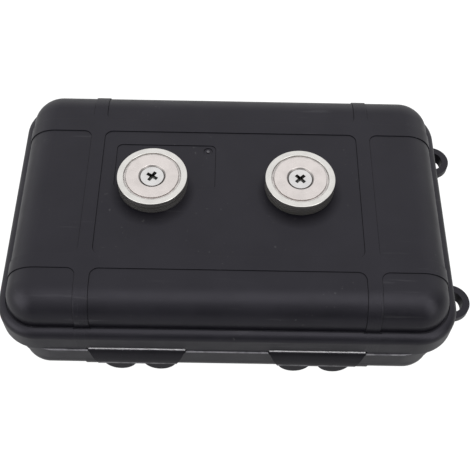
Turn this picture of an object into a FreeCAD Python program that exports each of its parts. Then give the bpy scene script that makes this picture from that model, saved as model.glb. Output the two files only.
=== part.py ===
import FreeCAD, Part
import math
import os

# Magnetic key holder box: a two-part moulded case with two pot magnets on its lid.
# Millimetres. +Z is up, X runs along the length, -Y is the latch side.
# The origin is at the centre of the base's underside, on the plane that it stands on.

V = FreeCAD.Vector
TOUCH = 1e-4
THROUGH = 5.0

# ---- case outline -------------------------------------------------------------
body_length = 153.2
body_width = 98.0
body_corner = 11.5
base_height = 27.5
lid_height = 22.35

# ---- walls --------------------------------------------------------------------
lid_wall = 3.2
lid_panel = 2.8
lid_round = 10.6
base_inset = 1.2
base_wall = 2.4
base_floor = 2.6
base_round = 9.0

# ---- raised bands that cross both halves --------------------------------------
band_height = 0.35
cross_band_at = 49.5
cross_band_width = 5.0
long_band_at = 29.95
long_band_width = 5.5
panel_corner = 3.0

# ---- lid rim ------------------------------------------------------------------
rim_reach = 3.5
rim_corner = 15.0
rim_height = 10.3
rim_round = 3.3
crease_width = 0.5
crease_depth = 0.6

# ---- base flange --------------------------------------------------------------
flange_end_reach = 0.6
flange_front_reach = 5.2
flange_corner = 15.2
flange_height = 6.2
skirt_thickness = 1.8
deck_thickness = 2.5
wall_clearance = 0.8
rib_thickness = 1.2

# ---- seal ---------------------------------------------------------------------
seal_inset = 1.7
groove_width = 1.4
groove_depth = 2.5
seal_height = 1.3
seal_side_gap = 0.05
tongue_width = 0.8
tongue_height = 1.1

# ---- shallow marks in the lid's centre panel ----------------------------------
recess_left = -42.0
recess_right = -5.4
recess_front = 0.9
recess_back = 21.1
recess_corner = 2.0
recess_depth = 0.3
dimple_x = -8.3
dimple_y = 18.5
dimple_radius = 1.65
nub_radius = 0.6

# ---- pot magnets --------------------------------------------------------------
magnet_left_x = -27.8
magnet_right_x = 25.1
magnet_y = 2.8
cup_radius = 12.5
cup_height = 5.3
cup_wall = 2.2
cup_floor = 1.5
cup_edge_round = 0.35
potting_width = 0.9
potting_sink = 0.3
magnet_sink = 0.05
screw_sink = 0.35
screw_radius = 2.5
screw_length = 16.0
screw_hole_gap = 0.25
head_radius = 4.4
head_land = 0.2
head_gap = 0.05
drive_depth = 2.2
drive_span = 4.9
drive_floor_span = 2.2
drive_wing = 1.15
drive_floor_wing = 0.8
washer_radius = 5.0
washer_height = 1.0
nut_flats = 8.0
nut_height = 3.6
nut_collar_radius = 3.5
nut_collar_height = 1.2
nut_chamfer = 0.5
thread_gap = 0.05

# ---- hinge between the halves -------------------------------------------------
hinge_at = 38.0
hinge_setback = 3.4
knuckle_radius = 3.0
lid_knuckle = 10.0
base_knuckle = 6.0
knuckle_gap = 0.3
hinge_pin_radius = 1.5
pin_hold_gap = 0.02
pin_run_gap = 0.08
pin_chamfer = 0.3
web_rise = 6.0
web_root = 1.0

# ---- latches ------------------------------------------------------------------
latch_at = 31.4
latch_top_rise = 0.6
latch_pivot_drop = 0.9
latch_pivot_inset = 1.3
latch_proud = 0.6
latch_round = 0.6
latch_lean = 38.0
latch_crease_drop = 5.5
latch_lip = 0.7
latch_top_half = 16.9
latch_crease_half = 13.8
latch_wall = 1.4
lobe_pitch = 13.9
lobe_shift = 0.9
lobe_width = 11.4
lobe_length = 3.9
lobe_flare = 0.6
latch_knuckle_radius = 1.5
latch_pin_radius = 0.6
latch_sweep_gap = 0.34
latch_side_gap = 0.4
hook_half = 10.0
hook_reach = 1.2
hook_height = 1.8
hook_wall = 1.3
catch_height = 2.5
catch_gap = 0.4
hook_gap = 0.3
ear_width = 2.2
ear_gap = 0.25
ear_radius = 0.95

# ---- lanyard rings ------------------------------------------------------------
ring_back_inset = 15.8
ring_front_inset = 18.0
ring_stand_off = 4.8
ring_radius = 6.8
ring_hole = 4.2
ring_thickness = 5.0
ring_drop = 0.3
ring_bevel = 2.2

# ---- worked out from the sizes above ------------------------------------------
half_x = body_length / 2
half_y = body_width / 2
parting = base_height
lid_top = base_height + lid_height
lid_plane = lid_top - band_height
lid_ceiling = lid_plane - lid_panel
rim_x = half_x + rim_reach
rim_y = half_y + rim_reach
rim_top = parting + rim_height
base_x = half_x - base_inset
base_y = half_y - base_inset
base_corner = body_corner - base_inset
flange_x = base_x + flange_end_reach
flange_y = base_y + flange_front_reach
flange_low = parting - flange_height
hinge_y = flange_y + hinge_setback
pivot_y = -(rim_y - latch_pivot_inset)
pivot_z = parting - latch_pivot_drop
latch_front = -(rim_y + latch_proud)
latch_top = parting + latch_top_rise
latch_sweep = latch_round + latch_sweep_gap + math.hypot(
    pivot_y - latch_front - latch_round, latch_top - latch_round - pivot_z)
ear_start = latch_top_half + latch_side_gap
ring_back_y = half_y - ring_back_inset
ring_front_y = -(half_y - ring_front_inset)


# ---- shapes that several pieces use -------------------------------------------
def rounded_block(reach_x, reach_y, corner, low, high):
    """Upright block with rounded corners, centred on the Z axis."""
    arcs = []
    for turn, (side_x, side_y) in enumerate(((1, 1), (-1, 1), (-1, -1), (1, -1))):
        centre = V(side_x * (reach_x - corner), side_y * (reach_y - corner), low)
        points = []
        for step in range(3):
            angle = math.pi / 2 * (turn + step / 2)
            points.append(centre + V(corner * math.cos(angle), corner * math.sin(angle), 0))
        arcs.append(Part.Arc(*points).toShape())
    edges = []
    for turn, arc in enumerate(arcs):
        following = arcs[(turn + 1) % len(arcs)]
        edges.append(arc)
        edges.append(Part.makeLine(arc.Vertexes[-1].Point, following.Vertexes[0].Point))
    return Part.Face(Part.Wire(edges)).extrude(V(0, 0, high - low))


def box_between(x_span, y_span, z_span):
    """Plain block between three pairs of limits."""
    corner = V(min(x_span), min(y_span), min(z_span))
    sizes = [max(span) - min(span) for span in (x_span, y_span, z_span)]
    return Part.makeBox(*sizes, corner)


def edges_at(shape, level):
    """Edges of a shape that lie flat at one height."""
    found = []
    for edge in shape.Edges:
        heights = [vertex.Z for vertex in edge.Vertexes] + [edge.CenterOfMass.z]
        if max(abs(height - level) for height in heights) < TOUCH:
            found.append(edge)
    return found


def tray_block(reach_x, reach_y, corner, open_level, closed_level, edge_round):
    """Block of a tray: square at its open level and rounded at its closed one."""
    low, high = sorted((open_level, closed_level))
    block = rounded_block(reach_x, reach_y, corner, low, high)
    return block.makeFillet(edge_round, edges_at(block, closed_level))


def panel_blocks(shrink, low, high):
    """The nine areas that the crossed bands leave free, each made smaller all round."""
    far = body_length
    inner_x = cross_band_at - cross_band_width / 2
    outer_x = cross_band_at + cross_band_width / 2
    inner_y = long_band_at - long_band_width / 2
    outer_y = long_band_at + long_band_width / 2
    blocks = []
    for left, right in ((-far, -outer_x), (-inner_x, inner_x), (outer_x, far)):
        for front, back in ((-far, -outer_y), (-inner_y, inner_y), (outer_y, far)):
            reach_x = (right - left) / 2 - shrink
            reach_y = (back - front) / 2 - shrink
            block = rounded_block(reach_x, reach_y, panel_corner, low, high)
            block.translate(V((left + right) / 2, (front + back) / 2, 0))
            blocks.append(block)
    return blocks


def banded_tray(reach_x, reach_y, corner, open_level, panel_level, edge_round):
    """Outer form of one half of the case, with its crossed bands standing proud."""
    plain = tray_block(reach_x, reach_y, corner, open_level, panel_level, edge_round)
    outward = math.copysign(band_height, panel_level - open_level)
    proud = tray_block(
        reach_x + band_height, reach_y + band_height, corner + band_height,
        open_level, panel_level + outward, edge_round + band_height)
    low = min(open_level, panel_level) - THROUGH
    high = max(open_level, panel_level) + THROUGH
    return plain.fuse(proud.cut(panel_blocks(0, low, high)))


def wall_ring(inset, width, low, high):
    """Closed ring that follows the lid's wall line, centred at an inset from it."""
    outer = inset - width / 2
    inner = inset + width / 2
    ring = rounded_block(half_x - outer, half_y - outer, body_corner - outer, low, high)
    hole = rounded_block(
        half_x - inner, half_y - inner, body_corner - inner, low - THROUGH, high + THROUGH)
    return ring.cut(hole)


def side_prism(edges, x_low, x_high):
    """Solid with one outline in the YZ plane, drawn as edges at X = 0."""
    face = Part.Face(Part.Wire(edges))
    face.translate(V(x_low, 0, 0))
    return face.extrude(V(x_high - x_low, 0, 0))


def side_polygon(points, x_low, x_high):
    """Solid with straight sides whose outline is given as (y, z) points."""
    corners = [V(0, y, z) for y, z in points]
    return side_prism([Part.makePolygon(corners + corners[:1])], x_low, x_high)


def cross_rod(radius, x_low, x_high, y, z):
    """Round rod along X."""
    return Part.makeCylinder(radius, x_high - x_low, V(x_low, y, z), V(1, 0, 0))


def plain_pin(radius, x_low, x_high, y, z):
    """Round steel pin along X, its ends broken by a small chamfer."""
    pin = cross_rod(radius, x_low, x_high, y, z)
    chamfer = min(pin_chamfer, radius / 3)
    return pin.makeChamfer(chamfer, [edge for edge in pin.Edges if len(edge.Vertexes) == 1])


def at_x(shape, x):
    """Copy of a shape moved along X."""
    copy = shape.copy()
    copy.translate(V(x, 0, 0))
    return copy


# ---- lid ----------------------------------------------------------------------
def lid_rim():
    """Flange round the lid's mouth, with a fine crease where it meets the wall."""
    rim = rounded_block(rim_x, rim_y, rim_corner, parting, rim_top)
    rim = rim.makeFillet(rim_round, edges_at(rim, rim_top))
    low = rim_top - crease_depth
    high = rim_top + THROUGH
    plain = crease_width
    crease = rounded_block(half_x + plain, half_y + plain, body_corner + plain, low, high)
    proud = crease_width + band_height
    band_crease = rounded_block(
        half_x + proud, half_y + proud, body_corner + proud, low, high)
    band_crease = band_crease.cut(panel_blocks(crease_width, low - THROUGH, high + THROUGH))
    return rim.cut([crease, band_crease])


def lid_marks():
    """Blank sunken field and gate dimple that are cut into the centre panel."""
    reach_x = (recess_right - recess_left) / 2
    reach_y = (recess_back - recess_front) / 2
    floor = lid_plane - recess_depth
    field = rounded_block(reach_x, reach_y, recess_corner, floor, lid_top)
    field.translate(V((recess_left + recess_right) / 2, (recess_front + recess_back) / 2, 0))
    low = floor - recess_depth
    dimple = Part.makeCylinder(dimple_radius, 2 * recess_depth, V(dimple_x, dimple_y, low))
    nub = Part.makeCylinder(nub_radius, recess_depth, V(dimple_x, dimple_y, low))
    return [field, dimple.cut(nub)]


def latch_ears():
    """Two ears under the lid's rim, one at each end of a latch, that hold its pin."""
    front = V(0, pivot_y - ear_radius, pivot_z)
    bottom = V(0, pivot_y, pivot_z - ear_radius)
    back = V(0, pivot_y + ear_radius, pivot_z)
    rise = V(0, 0, latch_top - pivot_z)
    edges = [Part.Arc(front, bottom, back).toShape()]
    edges.append(Part.makePolygon([back, back + rise, front + rise, front]))
    return [side_prism(edges, start, start + ear_width)
            for start in (ear_start, -ear_start - ear_width)]


def hinge_knuckle(width, wall_y, outward, rise):
    """Barrel on the hinge axis with its web, which meets the wall up or down from it."""
    half = width / 2
    barrel = cross_rod(knuckle_radius, -half, half, hinge_y, parting)
    near = parting + outward * knuckle_gap
    web = side_polygon(
        [(wall_y - web_root, near), (hinge_y, near),
         (hinge_y, parting + outward * knuckle_radius),
         (wall_y - web_root, parting + outward * rise)],
        -half, half)
    return barrel.fuse(web)


def make_lid_shell():
    """Lid: banded top, rim, cavity, seal groove, latch ears and hinge knuckles."""
    shell = banded_tray(half_x, half_y, body_corner, parting, lid_plane, lid_round)
    shell = shell.fuse(lid_rim())
    cavity = tray_block(
        half_x - lid_wall, half_y - lid_wall, body_corner - lid_wall,
        parting - THROUGH, lid_ceiling, lid_round - lid_panel)
    cuts = [cavity]
    cuts.append(wall_ring(seal_inset, groove_width, parting - THROUGH, parting + groove_depth))
    cuts.extend(lid_marks())
    for x in (magnet_left_x, magnet_right_x):
        hole = Part.makeCylinder(
            screw_radius + screw_hole_gap, 4 * lid_panel, V(x, magnet_y, lid_ceiling - lid_panel))
        cuts.append(hole)
    for side in (-1, 1):
        at = side * latch_at
        cuts.append(cross_rod(latch_sweep, at - ear_start, at + ear_start, pivot_y, pivot_z))
    shell = shell.cut(cuts)
    added = []
    bores = []
    for side in (-1, 1):
        at = side * latch_at
        added.extend(at_x(ear, at) for ear in latch_ears())
        reach = ear_start + 2 * ear_width
        bores.append(cross_rod(
            latch_pin_radius + pin_hold_gap, at - reach, at + reach, pivot_y, pivot_z))
        at = side * hinge_at
        added.append(at_x(hinge_knuckle(lid_knuckle, rim_y, 1, web_rise), at))
        bores.append(cross_rod(
            hinge_pin_radius + pin_run_gap, at - lid_knuckle, at + lid_knuckle, hinge_y, parting))
    return shell.fuse(added).cut(bores).removeSplitter()


def make_lid_seal():
    """Rubber ring pressed into the lid's groove."""
    high = parting + groove_depth
    return wall_ring(seal_inset, groove_width - 2 * seal_side_gap, high - seal_height, high)


# ---- base ---------------------------------------------------------------------
def latch_outline(grow, low, high, y_front, y_back):
    """Latch's tapered front outline, cut between two heights and run through Y."""
    crease_z = parting - latch_crease_drop
    taper = (latch_top_half - latch_crease_half) / (latch_crease_drop + latch_top_rise)
    narrow = latch_crease_half + grow
    wide = latch_top_half + taper * (high - latch_top) + grow
    corners = [V(x, y_front, z) for x, z in (
        (-narrow, low), (-narrow, crease_z), (-wide, high),
        (wide, high), (narrow, crease_z), (narrow, low))]
    face = Part.Face(Part.makePolygon(corners + corners[:1]))
    return face.extrude(V(0, y_back - y_front, 0))


def latch_pocket():
    """Notch in the base flange that clears one latch and its ears, and leaves the catch bar."""
    high = parting + THROUGH
    front = -(flange_y + THROUGH)
    catch_face = latch_front + latch_wall + catch_gap
    catch_top = flange_low + catch_height
    notch = latch_outline(latch_side_gap, flange_low - THROUGH, high, front, catch_face)
    pocket = box_between(
        (-ear_start, ear_start), (catch_face - TOUCH, -(base_y + band_height)),
        (catch_top, high))
    ear_end = ear_start + ear_width + ear_gap
    ear_reach = ear_radius + ear_gap
    wells = box_between(
        (-ear_end, ear_end), (pivot_y - ear_reach, pivot_y + ear_reach),
        (pivot_z - ear_reach, high))
    return notch.fuse([pocket, wells])


def coring(x_low, x_high, count, side):
    """Row of cored cells under the flange, parted by ribs; side is -1 front, 1 back."""
    pitch = (x_high - x_low + rib_thickness) / count
    y_span = (side * (base_y + wall_clearance), side * (flange_y - skirt_thickness))
    z_span = (flange_low - THROUGH, parting - deck_thickness)
    cells = []
    for index in range(count):
        start = x_low + index * pitch
        cells.append(box_between((start, start + pitch - rib_thickness), y_span, z_span))
    return cells


def flange_coring():
    """All cored cells, kept clear of the latches, the hinges and the corners."""
    straight = flange_x - flange_corner
    latch_block = ear_start + ear_width + skirt_thickness
    hinge_block = lid_knuckle / 2 + knuckle_gap + base_knuckle + skirt_thickness
    cells = coring(-(latch_at - latch_block), latch_at - latch_block, 2, -1)
    cells += coring(-(hinge_at - hinge_block), hinge_at - hinge_block, 4, 1)
    for mirror in (-1, 1):
        for block_at, block, side in ((latch_at, latch_block, -1), (hinge_at, hinge_block, 1)):
            ends = sorted((mirror * (block_at + block), mirror * straight))
            cells += coring(ends[0], ends[1], 1, side)
    return cells


def make_base_shell():
    """Base: banded tray, flange, tongue, latch pockets and hinge knuckles."""
    shell = banded_tray(base_x, base_y, base_corner, parting, band_height, base_round)
    shell = shell.fuse(rounded_block(flange_x, flange_y, flange_corner, flange_low, parting))
    cavity = tray_block(
        base_x - base_wall, base_y - base_wall, base_corner - base_wall,
        parting + THROUGH, band_height + base_floor, base_round - base_floor)
    cuts = [cavity] + flange_coring()
    for side in (-1, 1):
        cuts.append(at_x(latch_pocket(), side * latch_at))
    shell = shell.cut(cuts)
    added = [wall_ring(seal_inset, tongue_width, parting, parting + tongue_height)]
    bores = []
    knuckle_at = lid_knuckle / 2 + knuckle_gap + base_knuckle / 2
    for side in (-1, 1):
        for step in (-1, 1):
            knuckle = hinge_knuckle(base_knuckle, flange_y, -1, web_rise)
            added.append(at_x(knuckle, side * hinge_at + step * knuckle_at))
        reach = knuckle_at + base_knuckle
        at = side * hinge_at
        bores.append(cross_rod(
            hinge_pin_radius + pin_hold_gap, at - reach, at + reach, hinge_y, parting))
    return shell.fuse(added).cut(bores).removeSplitter()


def make_lanyard_ring(y):
    """Lanyard eye beside the lid's rim: a thick ring with its root on the flange's end."""
    centre_x = flange_x + ring_stand_off
    high = parting - ring_drop
    low = high - ring_thickness
    bevel_top = low + ring_bevel
    upper = Part.makeCylinder(ring_radius, high - bevel_top, V(centre_x, y, bevel_top))
    lower = Part.makeCone(ring_radius - ring_bevel / 2, ring_radius, ring_bevel,
                          V(centre_x, y, low))
    root = box_between((flange_x, centre_x), (y - ring_radius, y + ring_radius),
                       (bevel_top, high))
    ring = upper.fuse([lower, root])
    behind = box_between((0, flange_x), (y - 2 * ring_radius, y + 2 * ring_radius), (low, high))
    hole = Part.makeCylinder(ring_hole, 3 * ring_thickness, V(centre_x, y, low - ring_thickness))
    return ring.cut([behind, hole]).removeSplitter()


# ---- hinge and latch ----------------------------------------------------------
def make_hinge_pin(side):
    """Steel pin through one three-part hinge."""
    reach = lid_knuckle / 2 + knuckle_gap + base_knuckle
    at = side * hinge_at
    return plain_pin(hinge_pin_radius, at - reach, at + reach, hinge_y, parting)


def make_latch_pin(side):
    """Fine steel pin through one latch, held by the ear at each end."""
    reach = ear_start + ear_width
    at = side * latch_at
    return plain_pin(latch_pin_radius, at - reach, at + reach, pivot_y, pivot_z)


def latch_face_mask(side):
    """Front outline of the latch: tapered ends and two finger lobes below the lip.

    The lobes sit a little towards the middle of the case, so the two latches are mirrored.
    """
    crease_z = parting - latch_crease_drop
    root_z = crease_z - latch_lip
    edges = []
    corner = V(-latch_crease_half, 0, root_z)
    for step in (-1, 1):
        centre = step * lobe_pitch / 2 - side * lobe_shift
        start = V(centre - lobe_width / 2, 0, root_z)
        end = V(centre + lobe_width / 2, 0, root_z)
        tip = V(centre, 0, root_z - lobe_length)
        edges += [Part.makeLine(corner, start), Part.Arc(start, tip, end).toShape()]
        corner = end
    edges.append(Part.makePolygon([
        corner, V(latch_crease_half, 0, root_z), V(latch_crease_half, 0, crease_z),
        V(latch_top_half, 0, latch_top), V(-latch_top_half, 0, latch_top),
        V(-latch_crease_half, 0, crease_z), V(-latch_crease_half, 0, root_z)]))
    return Part.Face(Part.Wire(edges)).extrude(V(0, -2 * rim_y, 0))


def on_arc(centre, radius, rise):
    """Point of a circle in the side view; rise is 0 straight ahead and 90 degrees straight up."""
    return centre + V(0, -radius * math.cos(rise), radius * math.sin(rise))


def make_latch(side):
    """Latch: bowed plate with a lip, pin barrel, hook for the catch bar and finger lobes."""
    lean = math.radians(latch_lean)
    top_centre = V(0, latch_front + latch_round, latch_top - latch_round)
    face_top = on_arc(top_centre, latch_round, lean)
    crease_z = parting - latch_crease_drop
    bow = (face_top.z - crease_z) / math.sin(lean)
    bow_centre = V(0, face_top.y + bow * math.cos(lean), crease_z)
    crease = on_arc(bow_centre, bow, 0)
    lip_centre = V(0, crease.y + latch_lip, crease_z)
    lip_end = on_arc(lip_centre, latch_lip, -math.pi / 2)
    top = on_arc(top_centre, latch_round, math.pi / 2)
    tip_z = lip_end.z - lobe_length - TOUCH
    inner = latch_front + latch_wall
    hook_front = inner - hook_wall
    hook_root = crease_z + latch_wall / 2
    edges = [
        Part.Arc(top, on_arc(top_centre, latch_round, (lean + math.pi / 2) / 2),
                 face_top).toShape(),
        Part.Arc(face_top, on_arc(bow_centre, bow, lean / 2), crease).toShape(),
        Part.Arc(crease, on_arc(lip_centre, latch_lip, -math.pi / 4), lip_end).toShape()]
    edges.append(Part.makePolygon([
        lip_end, V(0, lip_end.y - lobe_flare, tip_z), V(0, hook_front, tip_z),
        V(0, hook_front, crease_z - latch_wall / 2), V(0, inner, hook_root),
        V(0, inner, latch_top), top]))
    plate = side_prism(edges, -latch_top_half, latch_top_half).common(latch_face_mask(side))
    hook_top = flange_low - hook_gap
    hook_low = hook_top - hook_height
    reach = latch_front + latch_wall + catch_gap + hook_reach
    hook = side_polygon(
        [(hook_front, hook_root), (hook_front, hook_low), (reach - hook_wall / 2, hook_low),
         (reach, hook_low + hook_wall / 2), (reach, hook_top), (inner, hook_top),
         (inner, hook_root)], -hook_half, hook_half)
    barrel = cross_rod(
        latch_knuckle_radius, -latch_crease_half, latch_crease_half, pivot_y, pivot_z)
    bore = cross_rod(
        latch_pin_radius + pin_run_gap, -latch_top_half, latch_top_half, pivot_y, pivot_z)
    return at_x(plate.fuse([hook, barrel]).cut(bore).removeSplitter(), side * latch_at)


# ---- pot magnets --------------------------------------------------------------
def turned(points, x):
    """Solid of revolution about a magnet's axis from (radius, height) points."""
    corners = [V(r, 0, z) for r, z in points]
    face = Part.Face(Part.makePolygon(corners + corners[:1]))
    solid = face.revolve(V(0, 0, 0), V(0, 0, 1), 360)
    solid.translate(V(x, magnet_y, 0))
    return solid


def make_magnet_cup(x):
    """Plated steel cup that stands on the lid, open upwards."""
    low = lid_plane
    high = lid_plane + cup_height
    floor = low + cup_floor
    inner = cup_radius - cup_wall
    soft = cup_edge_round
    hole = screw_radius + screw_hole_gap
    return turned([
        (hole, low), (cup_radius - soft, low), (cup_radius, low + soft),
        (cup_radius, high - soft), (cup_radius - soft, high), (inner, high),
        (inner, floor), (hole, floor)], x)


def make_ring_magnet(x):
    """Ring magnet with a countersunk hole, set in the cup."""
    low = lid_plane + cup_floor
    high = lid_plane + cup_height - magnet_sink
    outer = cup_radius - cup_wall - potting_width
    hole = screw_radius + screw_hole_gap
    mouth = head_radius + head_gap + screw_sink - magnet_sink + head_land
    return turned([
        (hole, low), (outer, low), (outer, high), (mouth, high), (hole, high - (mouth - hole))], x)


def make_potting_ring(x):
    """Resin that fills the gap between the magnet and its cup, sunk below both."""
    low = lid_plane + cup_floor
    high = lid_plane + cup_height - potting_sink
    outer = cup_radius - cup_wall
    inner = outer - potting_width
    return turned([(inner, low), (outer, low), (outer, high), (inner, high)], x)


def make_magnet_screw(x):
    """Countersunk cross-head machine screw through the magnet and the lid."""
    high = lid_plane + cup_height - screw_sink
    low = high - screw_length
    neck = high - head_land - (head_radius - screw_radius)
    tip = screw_radius - nut_chamfer
    body = turned([
        (0, low), (tip, low), (screw_radius, low + nut_chamfer), (screw_radius, neck),
        (head_radius, high - head_land), (head_radius, high), (0, high)], x)
    wings = []
    for angle in (45, 135):
        top = Part.makePlane(drive_span, drive_wing, V(-drive_span / 2, -drive_wing / 2, high))
        floor = Part.makePlane(
            drive_floor_span, drive_floor_wing,
            V(-drive_floor_span / 2, -drive_floor_wing / 2, high - drive_depth))
        wing = Part.makeLoft([top.OuterWire, floor.OuterWire], True, True)
        wing.rotate(V(0, 0, 0), V(0, 0, 1), angle)
        wing.translate(V(x, magnet_y, 0))
        wings.append(wing)
    return body.cut(wings)


def make_washer(x):
    """Plain washer against the lid's ceiling."""
    high = lid_ceiling
    low = high - washer_height
    hole = screw_radius + screw_hole_gap
    return turned([(hole, low), (washer_radius, low), (washer_radius, high), (hole, high)], x)


def make_lock_nut(x):
    """Hexagon lock nut with a round collar, under the washer."""
    high = lid_ceiling - washer_height
    low = high - nut_height
    across = nut_flats / math.sqrt(3)
    corners = []
    for step in range(6):
        angle = math.pi / 3 * step
        corners.append(V(x + across * math.cos(angle), magnet_y + across * math.sin(angle), low))
    hexagon = Part.Face(Part.makePolygon(corners + corners[:1])).extrude(V(0, 0, nut_height))
    tip = across - nut_chamfer
    limit = turned([
        (0, low), (tip, low), (across, low + nut_chamfer / 2), (across, high - nut_chamfer / 2),
        (tip, high), (0, high)], x)
    collar = Part.makeCylinder(nut_collar_radius, nut_collar_height,
                               V(x, magnet_y, low - nut_collar_height))
    bore = Part.makeCylinder(screw_radius + thread_gap, 4 * nut_height,
                             V(x, magnet_y, low - nut_height))
    return hexagon.common(limit).fuse(collar).cut(bore).removeSplitter()


# ---- all pieces ---------------------------------------------------------------
def all_pieces():
    """Every piece of the box by its node name."""
    pieces = {
        "base_shell": make_base_shell(),
        "lid_shell": make_lid_shell(),
        "lid_seal": make_lid_seal(),
        "lanyard_ring_back": make_lanyard_ring(ring_back_y),
        "lanyard_ring_front": make_lanyard_ring(ring_front_y),
    }
    for name, side, x in (("left", -1, magnet_left_x), ("right", 1, magnet_right_x)):
        pieces["hinge_pin_" + name] = make_hinge_pin(side)
        pieces["latch_" + name] = make_latch(side)
        pieces["latch_pin_" + name] = make_latch_pin(side)
        pieces["magnet_cup_" + name] = make_magnet_cup(x)
        pieces["ring_magnet_" + name] = make_ring_magnet(x)
        pieces["potting_ring_" + name] = make_potting_ring(x)
        pieces["magnet_screw_" + name] = make_magnet_screw(x)
        pieces["washer_" + name] = make_washer(x)
        pieces["lock_nut_" + name] = make_lock_nut(x)
    return pieces


os.makedirs("parts", exist_ok=True)
for node, shape in all_pieces().items():
    shape.exportStep("parts/" + node + ".step")
    print(node, "solids", len(shape.Solids), "volume", round(shape.Volume, 1))
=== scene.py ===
# %% [markdown]
# # Magnetic key holder box
# A black moulded case with two pot magnets on its lid, dressed for a studio picture.
# The solids come packed as a frame: every piece of the case is already in its place,
# in metres, with +Z up and the latches towards -Y. This script adds finishes, soft
# edges, threads, light and a camera round that frame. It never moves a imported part.

# %% Load the frame
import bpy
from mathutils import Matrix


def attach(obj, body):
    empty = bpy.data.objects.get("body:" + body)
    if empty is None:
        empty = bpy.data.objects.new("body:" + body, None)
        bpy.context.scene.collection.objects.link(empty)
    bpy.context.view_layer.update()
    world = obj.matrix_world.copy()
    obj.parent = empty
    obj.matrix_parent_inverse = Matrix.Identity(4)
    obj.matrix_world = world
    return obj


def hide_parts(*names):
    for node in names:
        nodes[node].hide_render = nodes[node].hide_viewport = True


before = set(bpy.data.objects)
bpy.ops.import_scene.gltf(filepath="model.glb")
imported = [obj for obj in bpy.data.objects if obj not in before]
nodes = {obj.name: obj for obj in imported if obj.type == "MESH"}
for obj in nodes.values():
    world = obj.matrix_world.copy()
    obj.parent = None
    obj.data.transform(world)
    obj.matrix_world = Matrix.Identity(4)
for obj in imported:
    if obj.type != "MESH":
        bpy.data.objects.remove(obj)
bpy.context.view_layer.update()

# %% [markdown]
# ## Units
# Blender reads every length as metres, and so does the frame. Small things are easier
# to write in millimetres, so lengths below are a number of millimetres times MM. Two
# corners closer than MERGE count as one, and an edge is sharp where its faces meet at
# more than SHARP degrees.

# %% Tools and units
import math
import bmesh
import bpy
from mathutils import Quaternion, Vector

MM = 0.001
MERGE = 0.001 * MM
SHARP = 28
scene = bpy.context.scene
scene.view_settings.view_transform = "Standard"
print("one millimetre is", MM, "and edges are sharp from", SHARP, "degrees")

# %% [markdown]
# ## Places on the case
# Both magnets are turned pieces, and so are their screws, washers and nuts. All of them
# need the axis they turn about and the height of the lid they stand on. Both numbers
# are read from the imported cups: the middle of a cup's box is its axis, and its lowest
# corner lies on the lid. So the dressing follows the solids if a size changes.

# %% Places on the case
cups = {side: nodes["magnet_cup_" + side].bound_box for side in ("left", "right")}
axes = {}
for side, corners in cups.items():
    middle_of_box = sum((Vector(corner) for corner in corners), Vector()) / len(corners)
    axes[side] = Vector((middle_of_box.x, middle_of_box.y, 0))
    print(side, "axis at", [round(value / MM, 2) for value in axes[side].xy], "mm")
lid_top = min(corner[2] for corner in cups["left"]) / MM
print("lid's surface at", round(lid_top, 2), "mm")

# %% [markdown]
# ## Choosing what an operator acts on
# Blender's operators work on whatever is selected, and loading leaves every packed
# part selected. So each step starts with an empty selection and then takes one piece.
# In edit mode the wanted faces or edges are found by a test on their place or their
# normal, which stays true when a size changes, where a list of numbers wouldn't.

# %% Selection helpers
def deselect_all():
    """Leave nothing selected, so that the next operator acts only on what is chosen."""
    if bpy.context.object and bpy.context.object.mode != "OBJECT":
        bpy.ops.object.mode_set(mode="OBJECT")
    bpy.ops.object.select_all(action="DESELECT")


def take(piece):
    """Make one piece the only selected object and the active one."""
    deselect_all()
    piece.select_set(True)
    bpy.context.view_layer.objects.active = piece


def choose(kind, test):
    """In edit mode, select only the edges or faces that pass a test, and count them."""
    bpy.ops.mesh.select_mode(type={"edges": "EDGE", "faces": "FACE"}[kind])
    bpy.ops.mesh.select_all(action="DESELECT")
    mesh = bpy.context.edit_object.data
    cage = bmesh.from_edit_mesh(mesh)
    found = [part for part in getattr(cage, kind) if test(part)]
    for part in found:
        part.select_set(True)
    bmesh.update_edit_mesh(mesh)
    return len(found)


# %% [markdown]
# ## Camera
# The case is seen from in front and well above, at about 57 degrees, from 30 cm away.
# A camera can be turned by angles, but a direction and a target are easier to read:
# the lens looks back along the direction, then rolls a little.

# %% Camera
view_turn = math.radians(-0.8376)
view_rise = math.radians(57.005)
view_roll = math.radians(1.684)
view_target = Vector((2.051, -18.4, 49.5)) * MM
view_distance = 305.53 * MM
towards_camera = Vector((
    math.sin(view_turn) * math.cos(view_rise),
    -math.cos(view_turn) * math.cos(view_rise),
    math.sin(view_rise)))
camera_data = bpy.data.cameras.new("camera")
camera_data.sensor_width = 36
camera_data.lens = 67.2
camera_data.clip_start = 10 * MM
camera = bpy.data.objects.new("camera", camera_data)
camera.location = view_target + view_distance * towards_camera
camera.rotation_mode = "QUATERNION"
camera.rotation_quaternion = (
    towards_camera.to_track_quat("Z", "Y") @ Quaternion((0, 0, 1), view_roll))
scene.collection.objects.link(camera)
scene.camera = camera
print("camera at", [round(value, 3) for value in camera.location])

# %% [markdown]
# ## Coordinates and noise
# A finish is a small graph of nodes. Each one starts from the piece's own object
# coordinates, in metres, so a pattern keeps its real size on every piece. Stretching
# the coordinates before the noise reads them turns specks into lines, and the distance
# from an axis turns them into rings.

# %% Coordinates and noise
def new_finish(name):
    """Material with its node tree, its main shader and the piece's own coordinates."""
    finish = bpy.data.materials.new(name)
    finish.use_nodes = True
    tree = finish.node_tree
    place = tree.nodes.new("ShaderNodeTexCoord").outputs["Object"]
    return finish, tree, tree.nodes["Principled BSDF"], place


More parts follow.
